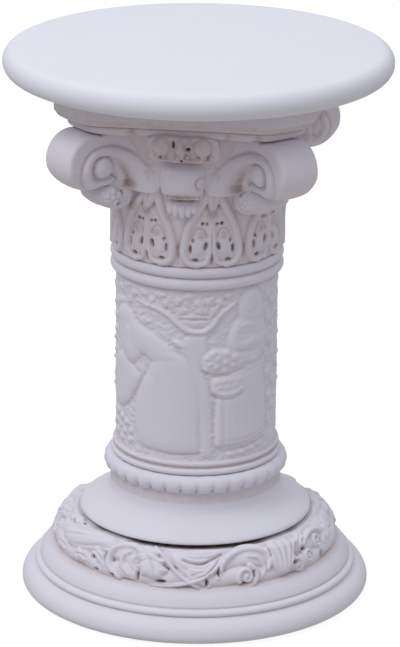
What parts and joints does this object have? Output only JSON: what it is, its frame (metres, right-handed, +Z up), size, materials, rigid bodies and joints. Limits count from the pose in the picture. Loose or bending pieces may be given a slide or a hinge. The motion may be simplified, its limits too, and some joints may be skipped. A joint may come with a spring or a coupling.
{
  "type": "roman column pedestal",
  "caption": "Short round column pedestal with a table top, a scrolled capital, a drum carved in low relief, and a stepped round foot with a leaf wreath.",
  "frame": {"origin": "centre of the foot's underside", "axes": "+Z up along the column's axis, -Y out of the middle of one side of the capital"},
  "size_m": [0.41, 0.41, 0.6],
  "materials": {
    "cast_white_column": "matte white cast with a thin brown-grey wash in the hollows",
    "cast_white_top": "matte white cast"
  },
  "bodies": {
    "root": {"column": "cast_white_column", "table_top": "cast_white_top"}
  },
  "joints": []
}
